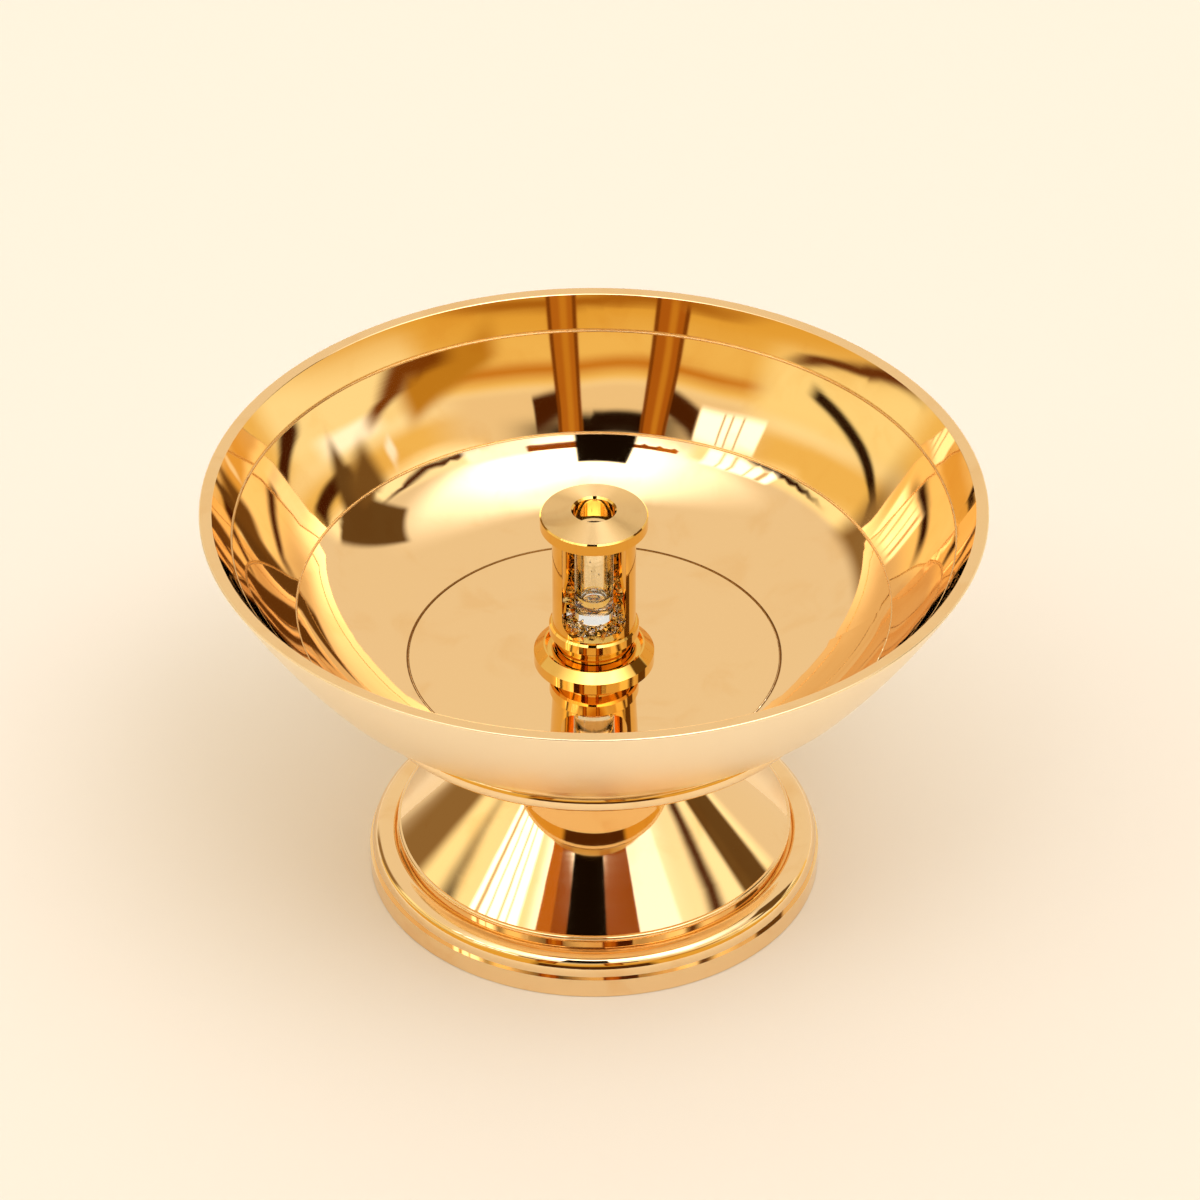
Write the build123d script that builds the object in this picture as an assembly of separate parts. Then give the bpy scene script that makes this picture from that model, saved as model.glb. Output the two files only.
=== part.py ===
from build123d import *
import math
import os

# Butter lamp: a turned brass bowl bolted to a hollow cone foot, with a loose wick stand on its floor.
# Millimetres, +Z up, origin on the lamp's axis at the surface that it stands on.

# Clearances
slide_fit = 0.05  # radial, where one turned piece plugs into another
seat_fit = 0.10  # radial, where a piece is only located by its neighbour
rest_gap = 0.20  # between a piece of glass and what it stands on or under
bolt_clearance = 0.30  # radial, round the stud and its flange

# Base ring
plinth_height = 3.2
plinth_quirk = 0.4  # step from the plinth in to the round moulding above it
torus_radius = 2.6  # section of the round moulding
torus_lift = 0.8  # its middle, above the plinth
groove_depth = 0.4  # below its crest, where the pedestal stands
base_spread = 5.0  # how far the plinth stands out past the foot of the cone

# Pedestal
cone_foot_radius = 30.6
cone_half_angle = 45.0
pedestal_wall = 2.2
pedestal_bead = 0.55  # radius of the half-round bead at the foot of the cone
bead_lift = 0.7  # plain band under the bead
spigot_depth = 4.0
spigot_step = 1.2  # shoulder that stands on the base ring
waist_radius = 13.0
waist_fillet = 3.0
flare_height = 6.4
plate_radius = 29.5
plate_edge = 1.2
plate_thickness = 3.2
stem_bore_radius = 9.5

# Seat ring
seat_ring_height = 4.5
seat_lip = 3.2  # thickness of the rounded lip that hugs the bowl
seat_reach = 0.31  # share of the curve under the bowl that the lip covers

# Bowl
floor_radius = 28.9
floor_thickness = 1.7
seat_margin = 1.1  # the flat underside reaches this far past the flat floor
dish_width = 16.9
dish_rise = 10.3
dish_curve = 29.0  # radius of the knuckle inside
under_curve = 40.0  # and outside, flatter
wall_flare = 12.4
wall_rise = 18.6
wall_curve = 130.0
wall_thickness = 1.8
rim_width = 2.05
rim_edge = 0.25
scribe_radius = 0.2  # half-round section of the lines cut on the lathe
rim_line_drop = 4.9  # upper line, below the rim

# Fastening under the bowl
stud_radius = 3.0
stud_flange_radius = 8.0
stud_flange_thickness = 2.0
stud_tail = 1.5  # thread past the nut
washer_radius = 6.0
washer_thickness = 1.2
spring_washer_radius = 5.7
spring_washer_thickness = 1.6
spring_washer_split = 1.0
split_tilt = 30.0
nut_across_flats = 10.0
nut_height = 5.0
nut_chamfer = 0.5

# Wick stand
flange_radius = 9.35
flange_edge = 0.9
flange_bevel_width = 1.5
flange_bevel_height = 1.25
crest_width = 0.25  # flat on top of the bevel
channel_depth = 0.85  # ring-shaped channel between the crest and the lip
channel_slope = 0.35  # lean of the channel's outer side
lip_height = 0.27  # above the crest
lip_width = 0.6
lip_slope = 0.15
stand_spigot_radius = 5.0
stand_spigot_length = 1.4
neck_radius = 5.9
neck_height = 2.05
neck_ring_radius = 6.25
neck_ring_height = 0.6
neck_ring_lift = 0.45  # above the lip
ferrule_radius = 6.95
ferrule_height = 2.0
ferrule_edge = 0.3
sleeve_radius = 6.45
sleeve_bore_radius = 5.1
sleeve_height = 20.0  # from the underside of the ferrule to the top of the posts
window_width = 9.8
back_window_width = 6.0
window_corner = 2.8
sill_height = 2.2  # above the underside of the ferrule
chip_well = 1.1  # how far the floor inside lies under the sills

# Cap
cap_radius = 8.3
cap_thickness = 2.0
cap_crown = 0.9
cap_edge = 0.2
cap_plug_length = 1.0
wick_hole_radius = 3.2
countersink_radius = 3.5
countersink_depth = 0.3

# Glass
vial_radius = 2.95
vial_bore_radius = 2.1
vial_floor = 4.0
vial_corner = 0.8  # rounding inside, round the floor of the bore
vial_lip = 0.25
vial_heel = 0.6  # rounding outside, round the bottom
chip_height = 1.4
chip_heap = 1.5  # how far the outermost chips stand above those under the vial
chip_radius = 0.88
chip_pitch = 1.97
chip_taper = 16.0
heap_taper = 7.0
chip_sides = 5
chip_variation = 0.3  # share of the height by which chips differ

# Heights that follow from the sizes above
torus_middle = plinth_height + torus_lift
base_top = torus_middle + torus_radius - groove_depth
cone_foot = base_top + bead_lift + 2 * pedestal_bead
cone_slope = math.tan(math.radians(cone_half_angle))
waist = cone_foot + (cone_foot_radius - waist_radius) / cone_slope
plate_top = waist + flare_height + plate_edge
plate_under = plate_top - plate_thickness
seat_top = plate_top + seat_ring_height
floor_top = seat_top + floor_thickness
knuckle = floor_top + dish_rise
rim_top = knuckle + wall_rise
lip_top = floor_top + flange_edge + flange_bevel_height + lip_height
ferrule_under = lip_top + neck_height
sill = ferrule_under + sill_height
well_floor = sill - chip_well
sleeve_top = ferrule_under + sleeve_height

# Radii that follow from the sizes above
spigot_radius = cone_foot_radius - spigot_step
base_radius = cone_foot_radius + base_spread
knuckle_radius = floor_radius + dish_width
rim_inner_radius = knuckle_radius + wall_flare
rim_radius = rim_inner_radius + rim_width

# Corners of the bowl's underside, which the seat ring shares
wall_slope = math.atan2(wall_rise, wall_flare)
under_knuckle = (
    knuckle_radius + wall_thickness * math.sin(wall_slope),
    knuckle - wall_thickness * math.cos(wall_slope),
)
seat_edge = (floor_radius + seat_margin, seat_top)


def turned(outline):
    """Solid of revolution about the lamp's axis, from a closed outline drawn as radius and height."""
    return revolve(Plane.XZ * make_face(outline), Axis.Z)


def disc(radius, bottom, height):
    """Plain cylinder on the lamp's axis, from the height of its underside."""
    return extrude(Pos(0, 0, bottom) * Circle(radius), height)


def make_base_ring():
    """Plinth with a round moulding above it, bored for the pedestal's spigot."""
    bore = spigot_radius + seat_fit
    torus_side = base_radius - plinth_quirk
    torus_axis = torus_side - torus_radius
    groove = torus_axis - math.sqrt(torus_radius**2 - (base_top - torus_middle) ** 2)
    crest = (torus_axis, torus_middle + torus_radius)
    outline = Polyline(
        (bore, 0),
        (base_radius, 0),
        (base_radius, plinth_height),
        (torus_side, plinth_height),
        (torus_side, torus_middle),
    )
    outline += ThreePointArc((torus_side, torus_middle), crest, (groove, base_top))
    outline += Polyline((groove, base_top), (bore, base_top), (bore, 0))
    return turned(outline)


def make_pedestal():
    """Hollow hourglass: bead and cone below, flare and plate above, with a spigot for the base ring."""
    inner_foot = cone_foot_radius - pedestal_wall / math.cos(math.radians(cone_half_angle))
    inner_waist = cone_foot + (inner_foot - stem_bore_radius) / cone_slope
    spigot_end = base_top - spigot_depth
    hole = stud_radius + bolt_clearance
    bead_foot = (cone_foot_radius, base_top + bead_lift)
    bead_side = (cone_foot_radius + pedestal_bead, base_top + bead_lift + pedestal_bead)
    bead_top = (cone_foot_radius, cone_foot)
    outline = Polyline(
        (inner_foot, spigot_end),
        (spigot_radius, spigot_end),
        (spigot_radius, base_top),
        (cone_foot_radius, base_top),
        bead_foot,
    )
    outline += ThreePointArc(bead_foot, bead_side, bead_top)
    outline += Polyline(
        bead_top,
        (waist_radius, waist),
        (plate_radius, plate_top - plate_edge),
        (plate_radius, plate_top),
        (hole, plate_top),
        (hole, plate_under),
        (stem_bore_radius, plate_under),
        (stem_bore_radius, inner_waist),
        (inner_foot, cone_foot),
        (inner_foot, spigot_end),
    )
    pedestal = turned(outline)
    waist_edge = pedestal.edges().filter_by(GeomType.CIRCLE).sort_by_distance((waist_radius, 0, waist))[0]
    return fillet(waist_edge, waist_fillet)


def underside():
    """Curve under the bowl, from the foot of the wall in to the flat that it sits on."""
    return RadiusArc(under_knuckle, seat_edge, under_curve)


def make_seat_ring():
    """Shallow cup that the bowl sits in, with a half-round lip, bored to clear the stud's flange."""
    bore = stud_flange_radius + bolt_clearance
    contact = underside().trim(1 - seat_reach, 1)
    edge_radius = (contact @ 0).X
    edge_top = (contact @ 0).Y
    edge_under = edge_top - seat_lip
    outline = Polyline(
        seat_edge,
        (bore, seat_top),
        (bore, plate_top),
        (plate_radius, plate_top),
        (edge_radius, edge_under),
    )
    outline += ThreePointArc(
        (edge_radius, edge_under),
        (edge_radius + seat_lip / 2, edge_top - seat_lip / 2),
        (edge_radius, edge_top),
    )
    outline += contact
    return turned(outline)


def make_bowl():
    """Flat floor, dished knuckle and flared wall that thins towards a flat rim, with three scribed lines."""
    floor_edge = (floor_radius, floor_top)
    inner_knuckle = (knuckle_radius, knuckle)
    inner_rim = (rim_inner_radius, rim_top)
    outer_rim = (rim_radius, rim_top)
    inner_wall = RadiusArc(inner_knuckle, inner_rim, -wall_curve)
    outline = Polyline(seat_edge, (0, seat_top), (0, floor_top), floor_edge)
    outline += RadiusArc(floor_edge, inner_knuckle, -dish_curve)
    outline += inner_wall
    outline += Polyline(inner_rim, outer_rim)
    outline += RadiusArc(outer_rim, under_knuckle, wall_curve)
    outline += underside()
    bowl = turned(outline)
    bowl = fillet(bowl.edges().group_by(Axis.Z)[-1], rim_edge)
    upper_line = inner_wall @ (1 - rim_line_drop / wall_rise)
    for radius, height in (floor_edge, inner_knuckle, (upper_line.X, upper_line.Y)):
        bowl -= Pos(0, 0, height) * Torus(radius, scribe_radius)
    return bowl


def make_fastening():
    """Stud under the bowl, and the washers and nut that pull it down inside the pedestal."""
    washer_under = plate_under - washer_thickness
    spring_under = washer_under - spring_washer_thickness
    nut_under = spring_under - nut_height
    hole = stud_radius + seat_fit
    flange_under = seat_top - stud_flange_thickness
    stud_end = nut_under - stud_tail
    stud = disc(stud_flange_radius, flange_under, stud_flange_thickness)
    stud += disc(stud_radius, stud_end, flange_under - stud_end)
    stud_hole = disc(hole, nut_under, plate_under - nut_under)
    flat_washer = disc(washer_radius, washer_under, washer_thickness) - stud_hole
    split_middle = spring_under + spring_washer_thickness / 2
    split = Box(spring_washer_split, 2 * spring_washer_radius, 3 * spring_washer_thickness)
    split = Pos(0, -spring_washer_radius, split_middle) * Rot(0, split_tilt, 0) * split
    spring_washer = disc(spring_washer_radius, spring_under, spring_washer_thickness) - stud_hole - split
    hexagon = RegularPolygon(nut_across_flats / 2, 6, major_radius=False)
    corner_radius = nut_across_flats / math.sqrt(3)
    turned_corners = disc(corner_radius, nut_under, nut_height)
    turned_corners = chamfer(turned_corners.edges().filter_by(GeomType.CIRCLE), nut_chamfer)
    hex_nut = extrude(Pos(0, 0, nut_under) * hexagon, nut_height) & turned_corners
    hex_nut -= stud_hole
    return {"bowl_stud": stud, "flat_washer": flat_washer, "spring_washer": spring_washer, "hex_nut": hex_nut}


def make_wick_base():
    """Bevelled collar on the bowl's floor, with a channel inside its crest and a lip round its bore."""
    bore = stand_spigot_radius + slide_fit
    bevel_foot = floor_top + flange_edge
    crest_top = bevel_foot + flange_bevel_height
    crest = flange_radius - flange_bevel_width
    channel_side = crest - crest_width
    channel_floor = crest_top - channel_depth
    lip_radius = neck_radius + lip_width
    return turned(
        Polyline(
            (bore, floor_top),
            (flange_radius, floor_top),
            (flange_radius, bevel_foot),
            (crest, crest_top),
            (channel_side, crest_top),
            (channel_side - channel_slope, channel_floor),
            (lip_radius + lip_slope, channel_floor),
            (lip_radius, lip_top),
            (bore, lip_top),
            (bore, floor_top),
        )
    )


def make_wick_sleeve():
    """Column turned from bar and bored from the top, with a wide window in front and a narrow one behind."""
    ferrule_top = ferrule_under + ferrule_height
    neck_ring_under = lip_top + neck_ring_lift
    neck_ring_top = neck_ring_under + neck_ring_height
    sleeve = turned(
        Polyline(
            (0, lip_top - stand_spigot_length),
            (stand_spigot_radius, lip_top - stand_spigot_length),
            (stand_spigot_radius, lip_top),
            (neck_radius, lip_top),
            (neck_radius, neck_ring_under),
            (neck_ring_radius, neck_ring_under),
            (neck_ring_radius, neck_ring_top),
            (neck_radius, neck_ring_top),
            (neck_radius, ferrule_under),
            (ferrule_radius - ferrule_edge, ferrule_under),
            (ferrule_radius, ferrule_under + ferrule_edge),
            (ferrule_radius, ferrule_top - ferrule_edge),
            (ferrule_radius - ferrule_edge, ferrule_top),
            (sleeve_radius, ferrule_top),
            (sleeve_radius, sleeve_top),
            (sleeve_bore_radius, sleeve_top),
            (sleeve_bore_radius, well_floor),
            (0, well_floor),
            (0, lip_top - stand_spigot_length),
        )
    )
    slot_height = sleeve_top - sill + window_corner
    for width, depth in ((window_width, ferrule_radius), (back_window_width, -ferrule_radius)):
        slot = Pos(0, sill + slot_height / 2) * RectangleRounded(width, slot_height, window_corner)
        slot += Pos(0, sleeve_top) * Rectangle(width, 2 * window_corner)
        sleeve -= extrude(Plane.XZ * slot, depth)
    return sleeve


def make_glass_vial():
    """Slender tube with a thick floor, a rounded heel and a rounded lip."""
    bottom = well_floor + chip_height + rest_gap
    top = sleeve_top - cap_plug_length - rest_gap
    bore_floor = bottom + vial_floor
    vial = disc(vial_radius, bottom, top - bottom)
    vial = fillet(vial.edges().group_by(Axis.Z)[0], vial_heel)
    bore = disc(vial_bore_radius, bore_floor, top - bore_floor)
    vial -= fillet(bore.edges().group_by(Axis.Z)[0], vial_corner)
    return fillet(vial.edges().group_by(Axis.Z)[-1], vial_lip)


def make_glass_chips():
    """Faceted chips in rings on the floor of the sleeve: a bed under the vial and a heap round its foot."""
    golden_angle = 180 * (3 - math.sqrt(5))
    rings = int((sleeve_bore_radius - chip_radius) // chip_pitch)
    chips = []
    for ring_number in range(rings + 1):
        in_heap = ring_number == rings
        tallest = chip_height + chip_heap if in_heap else chip_height
        taper = heap_taper if in_heap else chip_taper
        count = max(1, 6 * ring_number)
        for place in PolarLocations(ring_number * chip_pitch, count):
            turn = golden_angle * len(chips)
            height = tallest * (1 - chip_variation * (turn / 360 % 1))
            flat = RegularPolygon(chip_radius, chip_sides, rotation=turn)
            chip = extrude(flat, height, taper=taper)
            chips.append(Pos(0, 0, well_floor) * place * chip)
    return Compound(chips)


def make_wick_cap():
    """Disc with a low crown, a countersunk wick hole and a plug that locates it in the sleeve."""
    plug_radius = sleeve_bore_radius - slide_fit
    top = sleeve_top + cap_thickness
    crown_top = top + cap_crown
    return turned(
        Polyline(
            (wick_hole_radius, sleeve_top - cap_plug_length),
            (plug_radius, sleeve_top - cap_plug_length),
            (plug_radius, sleeve_top),
            (cap_radius, sleeve_top),
            (cap_radius, top - cap_edge),
            (cap_radius - cap_edge, top),
            (countersink_radius, crown_top),
            (wick_hole_radius, crown_top - countersink_depth),
            (wick_hole_radius, sleeve_top - cap_plug_length),
        )
    )


nodes = {
    "base_ring": make_base_ring(),
    "pedestal": make_pedestal(),
    "seat_ring": make_seat_ring(),
    "bowl": make_bowl(),
    **make_fastening(),
    "wick_base": make_wick_base(),
    "wick_sleeve": make_wick_sleeve(),
    "glass_chips": make_glass_chips(),
    "glass_vial": make_glass_vial(),
    "wick_cap": make_wick_cap(),
}

os.makedirs("parts", exist_ok=True)
for name, solid in nodes.items():
    export_step(solid, f"parts/{name}.step")
    print(name, "volume", round(solid.volume), "mm3")
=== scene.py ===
# %% [markdown]
# Butter lamp: the looks.
#
# The lamp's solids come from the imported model, already in place and in metres. This lesson gives them
# their finishes, rebuilds the crushed glass in the wick stand, and sets up the camera and a small studio.
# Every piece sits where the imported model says.

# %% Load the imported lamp
import math
import random

import bmesh
import bpy
from mathutils import Euler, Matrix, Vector


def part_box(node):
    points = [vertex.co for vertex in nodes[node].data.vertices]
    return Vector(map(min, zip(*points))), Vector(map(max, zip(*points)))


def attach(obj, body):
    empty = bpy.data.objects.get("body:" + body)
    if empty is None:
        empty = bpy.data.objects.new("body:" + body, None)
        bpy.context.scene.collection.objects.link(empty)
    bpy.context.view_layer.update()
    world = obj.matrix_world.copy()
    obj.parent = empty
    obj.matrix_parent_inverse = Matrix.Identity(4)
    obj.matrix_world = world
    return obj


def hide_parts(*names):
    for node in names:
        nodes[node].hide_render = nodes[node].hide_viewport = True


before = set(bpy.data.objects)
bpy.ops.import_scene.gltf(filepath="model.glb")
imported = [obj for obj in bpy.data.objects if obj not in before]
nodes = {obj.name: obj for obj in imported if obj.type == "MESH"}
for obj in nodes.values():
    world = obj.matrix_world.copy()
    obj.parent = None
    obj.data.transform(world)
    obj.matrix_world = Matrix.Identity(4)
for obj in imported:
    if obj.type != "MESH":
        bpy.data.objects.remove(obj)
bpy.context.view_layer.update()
mm = 0.001
scene = bpy.context.scene

# %% [markdown]
# Two helpers are used all through the file. Colours are written as the hex values a designer would pick
# from a screen, and shaders want linear light, so one function turns one into the other. The other one
# adds a node, sets its options, and either links a socket or gives it a value. Blender's mix node has a
# set of sockets for each kind of value, all with the same names, so those are picked by number.

# %% Helpers for colour and nodes
value_a, value_b, value_out = 2, 3, 0
colour_a, colour_b, colour_out = 6, 7, 2


def linear(hex_colour, strength=1.0):
    """Linear RGBA from an sRGB hex value, made brighter or darker by a strength."""
    channels = [int(hex_colour[i:i + 2], 16) / 255 for i in (0, 2, 4)]
    light = [c / 12.92 if c <= 0.04045 else ((c + 0.055) / 1.055) ** 2.4 for c in channels]
    return (*(channel * strength for channel in light), 1.0)


def add(tree, kind, inputs=None, **settings):
    """New node with its settings; an input that is a socket is linked, any other is set."""
    node = tree.nodes.new(kind)
    for name, value in settings.items():
        setattr(node, name, value)
    for name, value in (inputs or {}).items():
        if isinstance(value, bpy.types.NodeSocket):
            tree.links.new(value, node.inputs[name])
        else:
            node.inputs[name].default_value = value
    return node


print("middle grey in linear light", round(linear("808080")[0], 3))

# %% [markdown]
# The camera. The photograph looks down at the lamp from about two fifths of a right angle, from about
# 0.86 m, through a long lens. The ellipses of the rim, floor and foot give those numbers: how round they
# are gives the height, and how they differ gives the distance.

# %% Camera
camera_data = bpy.data.cameras.new("photo_camera")
camera_data.sensor_width = 36.0
camera_data.lens = 168.0
camera = bpy.data.objects.new("photo_camera", camera_data)
scene.collection.objects.link(camera)
camera.location = Vector((0.92, -698.9, 555.8)) * mm
look_at = Vector((0.92, 0.0, 49.7)) * mm
camera.rotation_euler = (look_at - camera.location).to_track_quat("-Z", "Y").to_euler()
scene.camera = camera
print("camera distance", round((look_at - camera.location).length, 3), "m")

# %% [markdown]
# The floor is a wide disc of matt card. It is pale and slightly warm, so that the polished metal picks up
# a soft cream from below, and it is wide enough to reach the horizon of a low view. It lies a hair under
# the plinth, so that the two faces don't share one plane.

# %% Floor
floor_radius = 4.0
floor_gap = 0.1 * mm


def new_material(name):
    """New material, with its node tree and its Principled shader."""
    material = bpy.data.materials.new(name)
    material.use_nodes = True
    return material, material.node_tree, material.node_tree.nodes["Principled BSDF"]


floor_mesh = bmesh.new()
bmesh.ops.create_circle(floor_mesh, cap_ends=True, segments=128, radius=floor_radius)
floor_data = bpy.data.meshes.new("floor_card")
floor_mesh.to_mesh(floor_data)
floor_mesh.free()
floor = bpy.data.objects.new("floor_card", floor_data)
floor.location.z = -floor_gap
scene.collection.objects.link(floor)
card, _, card_shader = new_material("matt_card")
card_shader.inputs["Base Color"].default_value = linear("F3F1EE")
card_shader.inputs["Roughness"].default_value = 0.85
card_shader.inputs["Specular IOR Level"].default_value = 0.2
floor_data.materials.append(card)
print("floor", floor.name, floor_radius, "m in radius")

# %% [markdown]
# The studio is painted on the sky round the lamp, as a photographer would stand boards round a piece of
# polished brass: a white softbox overhead towards the front, cream paper all round, a low gold reflector,
# bright panels with thin bars, two amber slats, and dark flags and lines between them. Mirror metal has no
# look of its own, and it is the dark gaps that draw its shape.
#
# Each board is an area in azimuth and elevation, with azimuth 0 at the front and positive to the right. A
# board that follows the wall drops towards the sides, as the bowl's wall does when it is seen from the
# front. A tilted one leans by that many degrees for each degree round. Paper is never quite flat, so a
# slow noise bends every edge a little.

# %% Directions in the sky
waver_scale = 1.7
waver_reach = 0.045
wall_droop = 0.0022
scene.view_settings.view_transform = "Standard"
world = bpy.data.worlds.new("studio")
scene.world = world
world.use_nodes = True
sky = world.node_tree
sky.nodes.clear()
straight = add(sky, "ShaderNodeTexCoord").outputs["Generated"]
waver = add(sky, "ShaderNodeTexNoise", {
    "Vector": straight, "Scale": waver_scale, "Detail": 0.0,
}).outputs["Color"]
waver = add(sky, "ShaderNodeVectorMath", {0: waver, 1: (0.5, 0.5, 0.5)}, operation="SUBTRACT").outputs[0]
direction = add(sky, "ShaderNodeVectorMath", {
    0: waver, 1: (waver_reach, waver_reach, waver_reach), 2: straight,
}, operation="MULTIPLY_ADD").outputs[0]
direction = add(sky, "ShaderNodeVectorMath", {0: direction}, operation="NORMALIZE").outputs[0]
axes = add(sky, "ShaderNodeSeparateXYZ", {0: direction}).outputs
front = add(sky, "ShaderNodeMath", {0: axes["Y"], 1: -1.0}, operation="MULTIPLY").outputs[0]
turn = add(sky, "ShaderNodeMath", {0: axes["X"], 1: front}, operation="ARCTAN2").outputs[0]
azimuth = add(sky, "ShaderNodeMath", {0: turn}, operation="DEGREES").outputs[0]
rise = add(sky, "ShaderNodeMath", {0: axes["Z"]}, operation="ARCSINE").outputs[0]
elevation = add(sky, "ShaderNodeMath", {0: rise}, operation="DEGREES").outputs[0]
squared = add(sky, "ShaderNodeMath", {0: azimuth, 1: azimuth}, operation="MULTIPLY").outputs[0]
wall_elevation = add(sky, "ShaderNodeMath", {
    0: squared, 1: wall_droop, 2: elevation,
}, operation="MULTIPLY_ADD").outputs[0]
print("sky nodes", len(sky.nodes))

# %% Boards of the studio
wall, level = True, False
panel_elevation, panel_half = 51, 3.4
low_elevation, low_half = 40.3, 1.9
left_slat, right_slat = -24, 10
slat_elevation, slat_half = 34, 9.5
boards = [
    # name, azimuth, elevation, half width, half height, soft ends, soft edges,
    # follows the wall or stays level, tilt, colour, strength
    ("softbox", 15, 66, 85, 20, 60, 14, level, 0.0, "FFFAF2", 2.0),
    ("softbox_core", 16, 60, 50, 11, 44, 16, level, 0.0, "FFFFFF", 3.6),
    ("side_paper_right", 80, 45, 36, 7, 6, 6, wall, 0.0, "FFF3D0", 1.35),
    ("side_paper_left", -80, 45, 36, 7, 6, 6, wall, 0.0, "FFEFC0", 1.3),
    ("gold_reflector", 0, 20, 125, 22.5, 1.5, 1.5, wall, 0.0, "FAD27A", 1.0),
    ("amber_reflector", 0, 7, 125, 22, 5, 5, wall, 0.0, "EFBA50", 0.97),
    ("cream_line", 0, 37.8, 118, 1.2, 118, 2.4, wall, 0.0, "FFF4D0", 1.15),
    ("pale_paper", -2, 39.7, 58, 2.9, 24, 1.6, wall, 0.0, "F8E1BA", 1.0),
    ("amber_line", 0, 34.2, 70, 0.8, 70, 2.2, wall, 0.0, "D98A20", 0.9),
    ("rim_line", 0, 26.0, 46, 0.5, 40, 0.9, wall, 0.0, "B8741C", 0.9),
    ("top_line", -4, 42.0, 30, 1.3, 30, 1.0, wall, 0.0, "2A1404", 0.6),
    ("side_glow_right", 84, 33.0, 27, 4.2, 12, 4.0, wall, 0.0, "FFF0C0", 1.12),
    ("side_glow_left", -84, 33.5, 27, 4.2, 12, 4.0, wall, 0.0, "FFECB0", 1.1),
    ("amber_zone_right", 50, 33.0, 17, 2.6, 9, 2.4, wall, 0.2, "D0942E", 0.9),
    ("glow_right", 88, 36.5, 10, 1.2, 10, 1.5, wall, 0.0, "FFFFFF", 1.4),
    ("amber_curve_right", 64, 24.1, 16, 0.9, 10, 1.4, level, -0.12, "8A4A0E", 0.8),
    ("dark_curve_right", 104, 16.8, 11, 0.9, 6, 0.8, level, -0.38, "5A2606", 0.6),
    ("dark_hook_right", 109, 8.3, 8, 0.9, 5, 0.9, level, -0.25, "5A2606", 0.6),
    ("amber_curve_left", -84, 13.5, 21, 0.5, 14, 0.7, level, 0.36, "7A3A0A", 0.7),
    ("dark_curve_left", -93.5, 17.2, 20, 0.7, 6, 0.7, level, 0.2, "3A1804", 0.5),
    ("dark_wall_line_left", -76, 34.0, 20, 1.0, 16, 1.6, level, 0.27, "4A1E04", 0.5),
    ("dark_wall_line_right", 68, 38.4, 24, 0.9, 18, 1.6, level, -0.2, "6A3408", 0.6),
    ("bright_panel_left", -64, panel_elevation, 14.5, panel_half, 2.5, 2.5, wall, 0.0, "FFFFFF", 2.6),
    ("bright_panel_low", -52, low_elevation, 12, low_half, 1.5, 1.5, wall, 0.0, "FFFFFF", 2.0),
    ("bright_panel_right", 42, 50, 14, 3.5, 4, 4, wall, 0.0, "FFFFFF", 1.6),
    ("brown_card", -4, 51, 34, 1.1, 1.5, 0.6, wall, 0.0, "9D4D03", 1.0),
    ("brown_card_edge", -34, 51, 4.5, 1.1, 1.5, 0.6, wall, 0.0, "C76F16", 1.0),
    ("dark_hood", -5, 53, 14, 9, 2, 2, level, 0.0, "1E1206", 0.6),
    ("amber_slat_left", left_slat, slat_elevation, 5, slat_half, 1.5, 1.5, level, 0.0, "BC6C1C", 0.9),
    ("amber_slat_right", right_slat, slat_elevation, 4.7, slat_half, 1.5, 1.5, level, 0.0, "C07420", 0.95),
    ("slat_foot_left", -34, 37, 5.5, 1.8, 1.2, 1.2, level, 0.0, "5A2C08", 0.7),
    ("slat_foot_right", 18.5, 38.5, 5, 1.8, 1.2, 1.2, level, 0.0, "5A2A06", 0.7),
    ("dark_flag_right", 105.5, 32.5, 11.5, 13.5, 4, 3, level, 0.25, "6B4E2A", 1.0),
    ("dark_flag_corner", 92, 24.6, 7, 3.8, 6, 3, level, -0.1, "7A5A30", 1.0),
    ("flag_glint", 78, 27.0, 1.6, 1.2, 2, 1.5, level, 0.0, "FFFFFF", 1.2),
    ("dark_flag_left", -124, 14, 14, 8, 9, 9, level, 0.35, "9C7A4C", 0.9),
    ("dark_horizon", 0, 9, 28, 11, 6, 6, level, 0.0, "6B3F16", 0.6),
]
print("boards", len(boards))

# %% Bars of the bright panels, cores and edges of the slats
bar_colour, core_colour, edge_colour = "D9BC94", "E59A30", "8A4A10"
core_shift = -0.5
for bar, half_width, strength in ((-74, 1.2, 1.3), (-68, 0.5, 1.4), (-61, 0.7, 1.6), (-56, 0.5, 1.5)):
    boards.append((
        f"panel_bar_{bar}", bar, panel_elevation, half_width, panel_half, 1.6, 1.6,
        wall, 0.0, bar_colour, strength,
    ))
for bar in (-56, -52, -49):
    boards.append((
        f"low_bar_{bar}", bar, low_elevation, 0.4, low_half, 0.8, 0.8, wall, 0.0, bar_colour, 1.0,
    ))
for slat, reach in ((left_slat, 4.4), (right_slat, 4.0)):
    boards.append((
        f"slat_core_{slat}", slat + core_shift, slat_elevation, 1.1, slat_half, 1.6, 1.6,
        level, 0.0, core_colour, 0.8,
    ))
    for edge in (slat - reach, slat + reach):
        boards.append((
            f"slat_edge_{edge}", edge, slat_elevation, 0.6, slat_half, 0.8, 0.8,
            level, 0.0, edge_colour, 0.85,
        ))
print("boards with their bars and edges", len(boards))

# %% [markdown]
# The boards lie over each other in the order of the list, on a ground of cream light. They light the lamp
# and show in its metal. The camera itself, and a ray that leaves through the glass, sees a plain pale sky.

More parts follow.
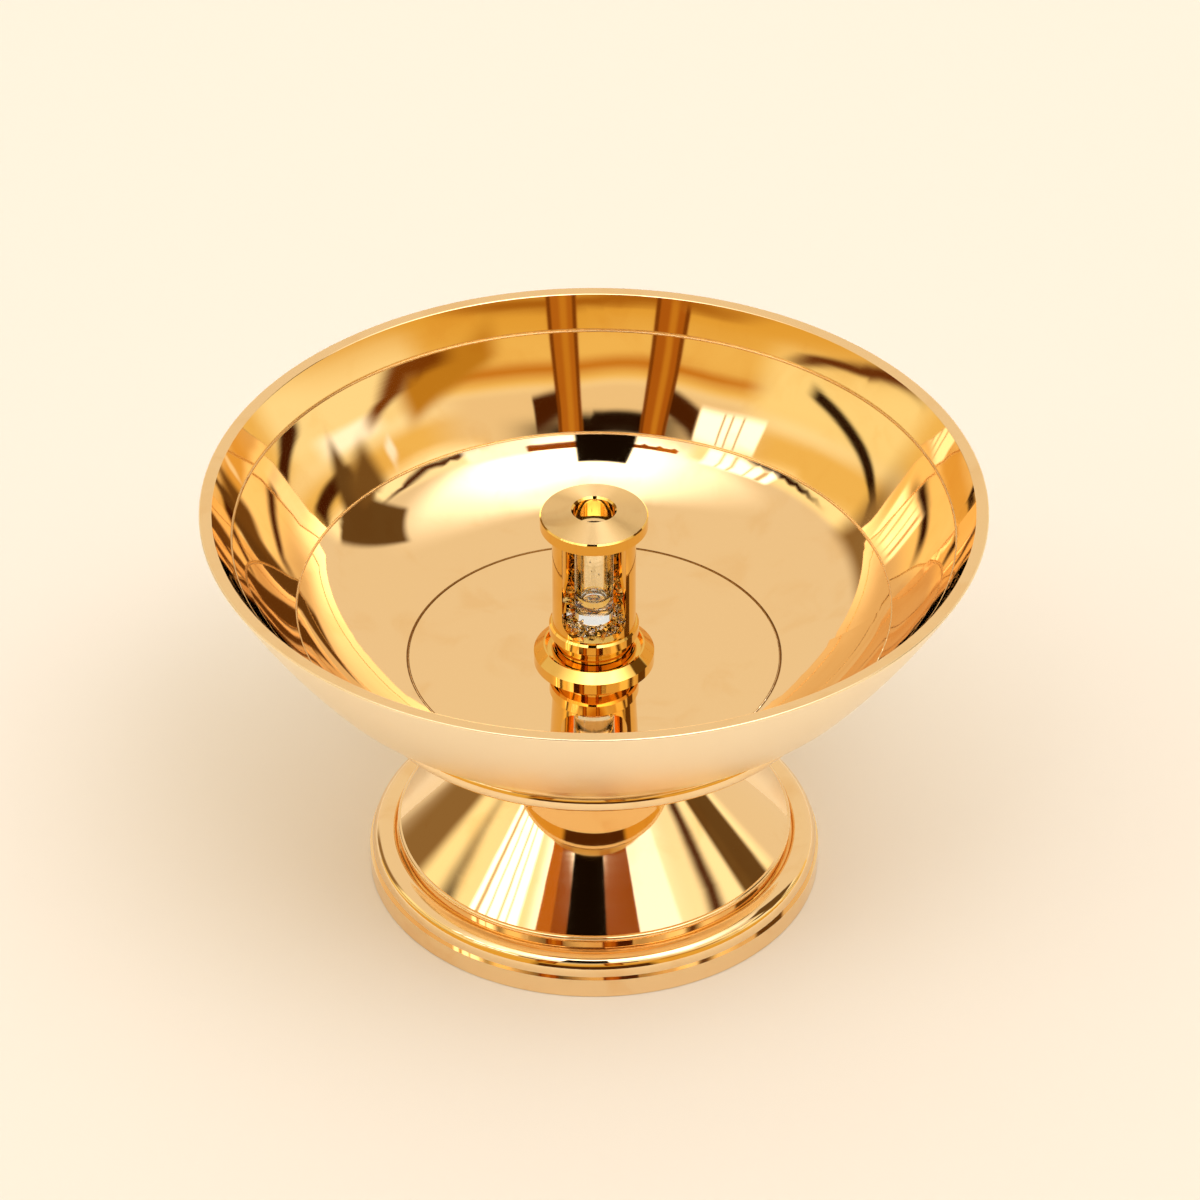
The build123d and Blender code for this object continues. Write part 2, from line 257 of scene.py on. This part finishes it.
# %% Light from the boards
cream_ground = "F6E4C9"
plain_sky = "EEEAE3"
light = linear(cream_ground)
for (name, board_azimuth, board_elevation, half_width, half_height, soft_ends, soft_edges,
        follows_wall, tilt, colour, strength) in boards:
    aside = add(sky, "ShaderNodeMath", {0: azimuth, 1: board_azimuth}, operation="SUBTRACT").outputs[0]
    off_centre = add(sky, "ShaderNodeMath", {0: aside}, operation="ABSOLUTE").outputs[0]
    across = add(sky, "ShaderNodeMapRange", {
        "Value": off_centre,
        "From Min": half_width + soft_ends / 2,
        "From Max": half_width - soft_ends / 2,
    }, interpolation_type="SMOOTHSTEP").outputs["Result"]
    height = wall_elevation if follows_wall else elevation
    above = add(sky, "ShaderNodeMath", {0: height, 1: board_elevation}, operation="SUBTRACT").outputs[0]
    if tilt:
        above = add(sky, "ShaderNodeMath", {
            0: aside, 1: -tilt, 2: above,
        }, operation="MULTIPLY_ADD").outputs[0]
    above = add(sky, "ShaderNodeMath", {0: above}, operation="ABSOLUTE").outputs[0]
    upright = add(sky, "ShaderNodeMapRange", {
        "Value": above,
        "From Min": half_height + soft_edges / 2,
        "From Max": half_height - soft_edges / 2,
    }, interpolation_type="SMOOTHSTEP").outputs["Result"]
    inside = add(sky, "ShaderNodeMath", {0: across, 1: upright}, operation="MULTIPLY").outputs[0]
    light = add(sky, "ShaderNodeMix", {
        "Factor": inside, colour_a: light, colour_b: linear(colour, strength),
    }, data_type="RGBA", label=name).outputs[colour_out]
ray = add(sky, "ShaderNodeLightPath").outputs
plain = add(sky, "ShaderNodeMath", {
    0: ray["Is Camera Ray"], 1: ray["Is Transmission Ray"],
}, operation="MAXIMUM").outputs[0]
seen = add(sky, "ShaderNodeMix", {
    "Factor": plain, colour_a: light, colour_b: linear(plain_sky),
}, data_type="RGBA").outputs[colour_out]
background = add(sky, "ShaderNodeBackground", {"Color": seen, "Strength": 1.0})
add(sky, "ShaderNodeOutputWorld", {"Surface": background.outputs[0]})
print("sky nodes", len(sky.nodes))

# %% [markdown]
# Nearly every metal piece here was finished while it turned on a lathe, so the metals share one set of
# marks: fine rings about the axis, slow waves that the polishing wheel leaves, and a drift of tone and
# sheen from handling. The marks are worked out in millimetres from the lamp's axis. The ring coordinate
# runs outwards on a flat face and upwards on a straight side, so the same marks go over both. Real turning
# marks are a few hundredths of a millimetre apart, which is too fine to show, so the rings are drawn some
# tenths of a millimetre apart.

# %% A metal finished on the lathe
ring_rise = 0.35
wiped_patch = 9.0
touched_from, touched_to = 0.5, 0.72
plain_sheen, ring_sheen, touched_sheen = 0.85, 0.3, 0.2


def lathe_metal(name, colour, handled, roughness, ring, ring_depth, wave, wave_depth):
    """Metal material and the sockets that later cells build on; sizes and depths are in millimetres."""
    material, tree, shader = new_material(name)
    place = add(tree, "ShaderNodeTexCoord").outputs["Object"]
    place = add(tree, "ShaderNodeVectorMath", {0: place, "Scale": 1 / mm}, operation="SCALE").outputs[0]
    xyz = add(tree, "ShaderNodeSeparateXYZ", {0: place}).outputs
    flat = add(tree, "ShaderNodeCombineXYZ", {"X": xyz["X"], "Y": xyz["Y"]}).outputs[0]
    radius = add(tree, "ShaderNodeVectorMath", {0: flat}, operation="LENGTH").outputs["Value"]
    along = add(tree, "ShaderNodeMath", {
        0: xyz["Z"], 1: ring_rise, 2: radius,
    }, operation="MULTIPLY_ADD").outputs[0]
    rings = add(tree, "ShaderNodeTexNoise", {
        "W": along, "Scale": 1 / ring, "Detail": 4.0,
    }, noise_dimensions="1D").outputs["Fac"]
    waves = add(tree, "ShaderNodeTexNoise", {
        "Vector": place, "Scale": 1 / wave, "Detail": 1.0,
    }).outputs["Fac"]
    wiped = add(tree, "ShaderNodeTexNoise", {
        "Vector": place, "Scale": 1 / wiped_patch, "Detail": 5.0, "Distortion": 0.6,
    }).outputs["Fac"]
    touched = add(tree, "ShaderNodeMapRange", {
        "Value": wiped, "From Min": touched_from, "From Max": touched_to,
    }, interpolation_type="SMOOTHSTEP").outputs["Result"]
    tone = add(tree, "ShaderNodeMix", {
        "Factor": touched, colour_a: linear(colour), colour_b: linear(handled),
    }, data_type="RGBA").outputs[colour_out]
    sheen = add(tree, "ShaderNodeMath", {
        0: rings, 1: ring_sheen, 2: plain_sheen,
    }, operation="MULTIPLY_ADD").outputs[0]
    sheen = add(tree, "ShaderNodeMath", {
        0: touched, 1: touched_sheen, 2: sheen,
    }, operation="MULTIPLY_ADD").outputs[0]
    rough = add(tree, "ShaderNodeMath", {0: sheen, 1: roughness}, operation="MULTIPLY").outputs[0]
    ring_height = add(tree, "ShaderNodeMath", {0: rings, 1: ring_depth}, operation="MULTIPLY").outputs[0]
    height = add(tree, "ShaderNodeMath", {
        0: waves, 1: wave_depth, 2: ring_height,
    }, operation="MULTIPLY_ADD").outputs[0]
    bump = add(tree, "ShaderNodeBump", {"Height": height, "Distance": mm, "Strength": 1.0}).outputs["Normal"]
    tree.links.new(tone, shader.inputs["Base Color"])
    tree.links.new(rough, shader.inputs["Roughness"])
    tree.links.new(bump, shader.inputs["Normal"])
    shader.inputs["Metallic"].default_value = 1.0
    marks = {
        "flat": flat, "xyz": xyz, "radius": radius,
        "tone": tone, "rough": rough, "sheen": sheen, "height": height,
    }
    return material, marks


print("patches left by handling, about", wiped_patch, "mm across")

# %% [markdown]
# Foot and ring: cast brass, turned, then buffed to a mirror. The eye reads it from crisp reflections with
# the slightest wobble, so the waves are broad and only a few thousandths of a millimetre deep.

# %% Mirror-polished brass for the foot


def dress(material, *names):
    """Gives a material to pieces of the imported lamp."""
    for name in names:
        nodes[name].data.materials.clear()
        nodes[name].data.materials.append(material)


foot_brass, _ = lathe_metal(
    "brass_cast_turned_and_buffed", "F7D9A9", "F3CF9A", roughness=0.035,
    ring=0.7, ring_depth=0.0002, wave=16.0, wave_depth=0.004,
)
dress(foot_brass, "base_ring", "pedestal", "seat_ring")
print("foot", foot_brass.name)

# %% [markdown]
# Bowl: sheet brass spun over a former, so its waves are longer and follow the wall. The inside is buffed to
# a mirror. The outside is left with a fine satin grain, and its tone is painted paler than the brass: a
# painted brightening that stands in for the light its shaded wall misses, so that it glows evenly from foot
# to rim. The flat rim is turned last, with a satin of its own. One mask finds the outside from the way the
# surface faces, and another finds the rim from its height.

# %% Spun brass for the bowl
outside_from, outside_to = 0.25, 0.45
outside_satin, outside_grain = 0.24, 0.05
rim_satin = 0.17
rim_from, rim_to = 0.12, 0.04
rim_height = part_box("bowl")[1][2] / mm
bowl_brass, marks = lathe_metal(
    "brass_spun_buffed_inside_satin_outside", "F7D9A9", "F4D29E", roughness=0.03,
    ring=0.8, ring_depth=0.0002, wave=20.0, wave_depth=0.005,
)
tree = bowl_brass.node_tree
bowl_shader = tree.nodes["Principled BSDF"]
facing = add(tree, "ShaderNodeNewGeometry").outputs["Normal"]
outwards = add(tree, "ShaderNodeVectorMath", {0: marks["flat"]}, operation="NORMALIZE").outputs[0]
faces_out = add(tree, "ShaderNodeVectorMath", {
    0: facing, 1: outwards,
}, operation="DOT_PRODUCT").outputs["Value"]
outside = add(tree, "ShaderNodeMapRange", {
    "Value": faces_out, "From Min": outside_from, "From Max": outside_to,
}).outputs["Result"]
at_rim = add(tree, "ShaderNodeMapRange", {
    "Value": marks["xyz"]["Z"], "From Min": rim_height - rim_from, "From Max": rim_height - rim_to,
}).outputs["Result"]
outside_rough = add(tree, "ShaderNodeMath", {
    0: marks["sheen"], 1: outside_grain, 2: outside_satin,
}, operation="MULTIPLY_ADD").outputs[0]
rim_rough = add(tree, "ShaderNodeMath", {0: marks["sheen"], 1: rim_satin}, operation="MULTIPLY").outputs[0]
rough = add(tree, "ShaderNodeMix", {
    "Factor": outside, value_a: marks["rough"], value_b: outside_rough,
}).outputs[value_out]
rough = add(tree, "ShaderNodeMix", {
    "Factor": at_rim, value_a: rough, value_b: rim_rough,
}).outputs[value_out]
# Painted light: the outside's tone is painted paler than the brass, a painted brightening for the shade on
# its wall.
tone = add(tree, "ShaderNodeMix", {
    "Factor": outside, colour_a: marks["tone"], colour_b: linear("FFEDCA"),
}, data_type="RGBA").outputs[colour_out]
dress(bowl_brass, "bowl")
print("bowl", bowl_brass.name, "rim at", round(rim_height, 2), "mm")

# %% [markdown]
# The three scribed lines are cut after buffing, and the wheel never reaches into them. The one round the
# floor is coloured a dark brown and shows as a thin brown line. Those on the wall wipe clean and show as the
# grain of the cut alone. They are found by their radius, and each has its own reach to both sides.

# %% Polish left in the scribed lines
floor_line, lower_wall_line, upper_wall_line = 28.9, 45.8, 55.25
floor_line_brown, clean_cut = "7A5222", "EBC790"
scribed_satin = 0.3
scribed = (
    (floor_line, 0.28, floor_line_brown),
    (lower_wall_line, 0.2, clean_cut),
    (upper_wall_line, 0.2, clean_cut),
)
for line_radius, line_reach, line_tone in scribed:
    off_line = add(tree, "ShaderNodeMath", {
        0: marks["radius"], 1: line_radius,
    }, operation="SUBTRACT").outputs[0]
    off_line = add(tree, "ShaderNodeMath", {0: off_line}, operation="ABSOLUTE").outputs[0]
    in_line = add(tree, "ShaderNodeMapRange", {
        "Value": off_line, "From Min": line_reach, "From Max": line_reach / 2,
    }, interpolation_type="SMOOTHSTEP").outputs["Result"]
    in_line = add(tree, "ShaderNodeMath", {
        0: in_line, 1: outside,
    }, operation="SUBTRACT", use_clamp=True).outputs[0]
    tone = add(tree, "ShaderNodeMix", {
        "Factor": in_line, colour_a: tone, colour_b: linear(line_tone),
    }, data_type="RGBA").outputs[colour_out]
    rough = add(tree, "ShaderNodeMix", {
        "Factor": in_line, value_a: rough, value_b: scribed_satin,
    }).outputs[value_out]
tree.links.new(rough, bowl_shader.inputs["Roughness"])
tree.links.new(tone, bowl_shader.inputs["Base Color"])
print("scribed lines at", [line_radius for line_radius, _, _ in scribed], "mm from the axis")

# %% [markdown]
# The spun floor is not quite flat: spinning leaves it dished by under a millimetre from the stand out to
# the scribed line. That is too little to see as a shape, but a mirror shows it, because the floor then
# looks over the back of the rim and stays an even cream. The dish starts past the stand and is put into
# the bump.

# %% Slight dish of the bowl's floor
flat_reach = 10.0
dish_width = floor_line - flat_reach
edge_slope = math.tan(math.radians(5.0))
past_stand = add(tree, "ShaderNodeMath", {
    0: marks["radius"], 1: flat_reach,
}, operation="SUBTRACT").outputs[0]
past_stand = add(tree, "ShaderNodeClamp", {"Value": past_stand, "Min": 0.0, "Max": dish_width}).outputs[0]
squared = add(tree, "ShaderNodeMath", {0: past_stand, 1: 2.0}, operation="POWER").outputs[0]
dish_height = add(tree, "ShaderNodeMath", {
    0: squared, 1: edge_slope / (2 * dish_width), 2: marks["height"],
}, operation="MULTIPLY_ADD").outputs[0]
dish_bump = add(tree, "ShaderNodeBump", {
    "Height": dish_height, "Distance": mm, "Strength": 1.0,
}).outputs["Normal"]
tree.links.new(dish_bump, bowl_shader.inputs["Normal"])
print("dish of the floor", round(edge_slope * dish_width / 2, 2), "mm")

# %% [markdown]
# Wick stand: small pieces turned from bar and buffed. Their marks are finer and closer than on the bowl,
# and bar brass is a deeper gold than sheet.

# %% Buffed bar brass for the wick stand
bar_gold = "F0C468"
bar_brass, _ = lathe_metal(
    "brass_turned_from_bar_and_buffed", bar_gold, "E8B85A", roughness=0.045,
    ring=0.25, ring_depth=0.0001, wave=5.0, wave_depth=0.001,
)
dress(bar_brass, "wick_base", "wick_sleeve")
print("stand", bar_brass.name)

# %% [markdown]
# Cap: its crown is faced on the lathe and never buffed. The tool leaves one fine spiral groove, and light
# glances off its turns in fans that spread from the hole. A highlight stretched across the turning gives
# that. The edge and the hole are buffed with the rest of the stand, and a mask finds the crown from the
# way the surface faces.

# %% Faced brass for the cap
crown_from, crown_to = 0.75, 0.9
crown_satin = 0.46
cap_brass, marks = lathe_metal(
    "brass_faced_on_the_lathe", "FFE0A8", "FAD69A", roughness=0.05,
    ring=0.2, ring_depth=0.0002, wave=6.0, wave_depth=0.0,
)
tree = cap_brass.node_tree
cap_shader = tree.nodes["Principled BSDF"]
facing = add(tree, "ShaderNodeNewGeometry").outputs["Normal"]
upwards = add(tree, "ShaderNodeSeparateXYZ", {0: facing}).outputs["Z"]
on_crown = add(tree, "ShaderNodeMapRange", {
    "Value": upwards, "From Min": crown_from, "From Max": crown_to,
}).outputs["Result"]
crown_rough = add(tree, "ShaderNodeMath", {
    0: marks["sheen"], 1: crown_satin,
}, operation="MULTIPLY").outputs[0]
rough = add(tree, "ShaderNodeMix", {
    "Factor": on_crown, value_a: marks["rough"], value_b: crown_rough,
}).outputs[value_out]
tone = add(tree, "ShaderNodeMix", {
    "Factor": on_crown, colour_a: linear(bar_gold), colour_b: marks["tone"],
}, data_type="RGBA").outputs[colour_out]
turning = add(tree, "ShaderNodeTangent", direction_type="RADIAL", axis="Z").outputs["Tangent"]
tree.links.new(rough, cap_shader.inputs["Roughness"])
tree.links.new(tone, cap_shader.inputs["Base Color"])
tree.links.new(turning, cap_shader.inputs["Tangent"])
cap_shader.inputs["Anisotropic"].default_value = 1.0
cap_shader.inputs["Anisotropic Rotation"].default_value = 0.25
dress(cap_brass, "wick_cap")
print("cap", cap_brass.name)

# %% [markdown]
# Fastening: inside the foot, where nobody buffs. The stud, washer and nut are brass as it left the
# machine, duller and browner. The split washer is spring steel with a zinc plate, which looks cool and
# slightly cloudy.

# %% Fastener metals
machined, _ = lathe_metal(
    "brass_as_machined", "C99E58", "A97C3C", roughness=0.32,
    ring=0.3, ring_depth=0.002, wave=3.0, wave_depth=0.004,
)
zinc, _ = lathe_metal(
    "spring_steel_zinc_plated", "B9BCC0", "8F8F8C", roughness=0.36,
    ring=0.4, ring_depth=0.002, wave=2.0, wave_depth=0.004,
)
dress(machined, "bowl_stud", "flat_washer", "hex_nut")
dress(zinc, "spring_washer")
print("fastening", machined.name, zinc.name)

# %% [markdown]
# Glass vial: drawn tube with a thick sealed floor. Clear glass is all edge: it shows as bright and dark
# outlines of whatever is behind it. Drawn tube has faint draw lines along its length and a few seed
# bubbles, and the sealed end is ground flat, so it is frosted underneath.

# %% Clear glass
draw_line_width = 0.9
draw_line_depth = 0.004 * mm
draw_squash = 0.06
ground_from, ground_to = -0.6, -0.9
ground_frost = 0.3
vial_glass, tree, shader = new_material("glass_drawn_tube")
place = add(tree, "ShaderNodeTexCoord").outputs["Object"]
stretched = add(tree, "ShaderNodeMapping", {
    "Vector": place, "Scale": (1 / mm, 1 / mm, draw_squash / mm),
}).outputs[0]
draw_lines = add(tree, "ShaderNodeTexNoise", {
    "Vector": stretched, "Scale": 1 / draw_line_width, "Detail": 2.0,
}).outputs["Fac"]
draw_bump = add(tree, "ShaderNodeBump", {
    "Height": draw_lines, "Distance": draw_line_depth, "Strength": 1.0,
}).outputs[0]
facing = add(tree, "ShaderNodeNewGeometry").outputs["Normal"]
upwards = add(tree, "ShaderNodeSeparateXYZ", {0: facing}).outputs["Z"]
ground = add(tree, "ShaderNodeMapRange", {
    "Value": upwards, "From Min": ground_from, "From Max": ground_to, "To Max": ground_frost,
}).outputs["Result"]
tree.links.new(draw_bump, shader.inputs["Normal"])
tree.links.new(ground, shader.inputs["Roughness"])
shader.inputs["Base Color"].default_value = linear("FBFCFA")
shader.inputs["Transmission Weight"].default_value = 1.0
shader.inputs["IOR"].default_value = 1.48
dress(vial_glass, "glass_vial")
print("vial", vial_glass.name)

# %% [markdown]
# Seed bubbles: air that stayed in the melt. A bubble is a small hollow in the glass, so its skin faces
# inwards, and drawing the tube has stretched it a little along its length. Turning by the golden angle
# from one to the next keeps them from lining up.

# %% Seed bubbles in the vial
bubble_count = 14
bubble_least, bubble_spread = 0.1, 0.22
bubble_stretch = 1.5
middle_of_wall = 2.52
end_margin = 1.5
first_angle, golden_angle = -90, 137.5
vial_low, vial_high = (Vector(corner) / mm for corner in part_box("glass_vial"))
chance = random.Random(7)
bubbles = bmesh.new()
for number in range(bubble_count):
    size = bubble_least + bubble_spread * chance.random() ** 2
    around = math.radians(first_angle + (number * golden_angle) % 360)
    height = vial_low.z + end_margin + (vial_high.z - vial_low.z - 2 * end_margin) * chance.random()
    made = bmesh.ops.create_icosphere(bubbles, subdivisions=2, radius=size)["verts"]
    for vert in made:
        vert.co.z *= bubble_stretch
        vert.co += Vector((middle_of_wall * math.cos(around), middle_of_wall * math.sin(around), height))
bmesh.ops.scale(bubbles, vec=(mm, mm, mm), verts=bubbles.verts)
bmesh.ops.reverse_faces(bubbles, faces=bubbles.faces)
for face in bubbles.faces:
    face.smooth = True
bubble_data = bpy.data.meshes.new("seed_bubbles")
bubbles.to_mesh(bubble_data)
bubbles.free()
bubble_data.materials.append(vial_glass)
seed_bubbles = bpy.data.objects.new("seed_bubbles", bubble_data)
scene.collection.objects.link(seed_bubbles)
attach(seed_bubbles, "glass_vial")
print("bubbles", len(bubble_data.polygons), "faces")

# %% [markdown]
# Crushed glass: clear glass broken with a hammer and sieved, spread on the floor of the sleeve and heaped
# round the foot of the vial. Each shard is the hull of a few random points, because glass breaks into
# flat, sharp facets. The bed lies under the vial, and the heap fills the ring between the vial and the
# sleeve, clear of the vial's side, so that the vial can still be lifted out past it. Each shard gets a
# place, a size, and the heights that it has to stay between. A ring of the bed has a radius and a count,
# and a level of the heap has a count, a height and the half sizes that its shards lie between.

# %% Crushed glass under and round the vial
sleeve_bore = 5.1
shard_height = 1.5
bed_clearance, under_vial = 0.02, 0.06
bed_halves, large_halves, small_halves = (0.7, 0.84), (0.78, 1.05), (0.55, 0.85)
bed_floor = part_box("glass_chips")[0][2] / mm
vial_side = vial_high.x
heap_ring = (sleeve_bore + vial_side) / 2
bed_rings = ((0.0, 1), (1.6, 6))
heap_levels = ((10, 0.02, large_halves), (10, 0.95, large_halves), (8, 1.75, small_halves))
shards = []
for ring_radius, count in bed_rings:
    for number in range(count):
        angle = 2 * math.pi * (number + chance.uniform(-0.2, 0.2)) / count
        half = chance.uniform(*bed_halves)
        shards.append((ring_radius, angle, half, bed_floor + bed_clearance, vial_low.z - under_vial))
for heap_level, (count, low, halves) in enumerate(heap_levels):
    for number in range(count):
        angle = 2 * math.pi * (number + chance.uniform(-0.25, 0.25)) / count + heap_level
        half = chance.uniform(*halves)
        foot = bed_floor + low + chance.uniform(0.0, 0.25)
        shards.append((heap_ring + chance.uniform(-0.25, 0.25), angle, half, foot, foot + shard_height))
print("shards", len(shards), "heap at radius", round(heap_ring, 2), "mm")

# %% Shards as broken hulls
shard_corners = 9
full_turn = 6.3
tiny = 1e-6
vial_clearance, bore_clearance = 0.08, 0.06
crushed = bmesh.new()
for ring_radius, angle, half, low, high in shards:
    spots = []
    for corner in range(shard_corners):
        spot = Vector((chance.gauss(0, 1), chance.gauss(0, 1), chance.gauss(0, 1))).normalized()
        spots.append(spot * half * chance.uniform(0.75, 1.0))
    tumble = Euler((chance.uniform(0, full_turn), chance.uniform(0, full_turn), chance.uniform(0, full_turn)))
    for spot in spots:
        spot.rotate(tumble)
    lowest = min(spot.z for spot in spots)
    tall = max(spot.z for spot in spots) - lowest
    squeeze = min(1.0, (high - low) / tall)
    centre = Vector((ring_radius * math.cos(angle), ring_radius * math.sin(angle), low))
    least = vial_side + vial_clearance if ring_radius > vial_side else 0.0
    made = []
    for spot in spots:
        spot = centre + Vector((spot.x, spot.y, (spot.z - lowest) * squeeze))
        reach = math.hypot(spot.x, spot.y)
        kept = min(max(reach, least), sleeve_bore - bore_clearance)
        spot.x *= kept / max(reach, tiny)
        spot.y *= kept / max(reach, tiny)
        made.append(crushed.verts.new(spot * mm))
    hull = bmesh.ops.convex_hull(crushed, input=made)
    loose = [item for item in hull["geom_interior"] if isinstance(item, bmesh.types.BMVert)]
    bmesh.ops.delete(crushed, geom=loose, context="VERTS")
crushed_data = bpy.data.meshes.new("crushed_glass")
bmesh.ops.recalc_face_normals(crushed, faces=crushed.faces)
crushed.to_mesh(crushed_data)
crushed.free()
print("crushed glass", len(crushed_data.polygons), "facets")

# %% [markdown]
# The shards are clear glass too, but broken faces carry a fine ripple, so their roughness isn't quite
# nothing. They sparkle, because each facet throws a different part of the stand at the eye.

# %% Finish of the crushed glass
ripple_width = 0.5 * mm
ripple_depth = 0.02 * mm
broken_glass, tree, shader = new_material("glass_crushed")
place = add(tree, "ShaderNodeTexCoord").outputs["Object"]
ripple = add(tree, "ShaderNodeTexNoise", {
    "Vector": place, "Scale": 1 / ripple_width, "Detail": 2.0,
}).outputs["Fac"]
ripple_bump = add(tree, "ShaderNodeBump", {
    "Height": ripple, "Distance": ripple_depth, "Strength": 1.0,
}).outputs[0]
tree.links.new(ripple_bump, shader.inputs["Normal"])
shader.inputs["Base Color"].default_value = linear("FBFAF8")
shader.inputs["Transmission Weight"].default_value = 1.0
shader.inputs["Roughness"].default_value = 0.02
shader.inputs["IOR"].default_value = 1.5
crushed_data.materials.append(broken_glass)
crushed_glass = bpy.data.objects.new("crushed_glass", crushed_data)
scene.collection.objects.link(crushed_glass)
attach(crushed_glass, "wick_sleeve")
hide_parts("glass_chips")
print("crushed glass rides on wick_sleeve")
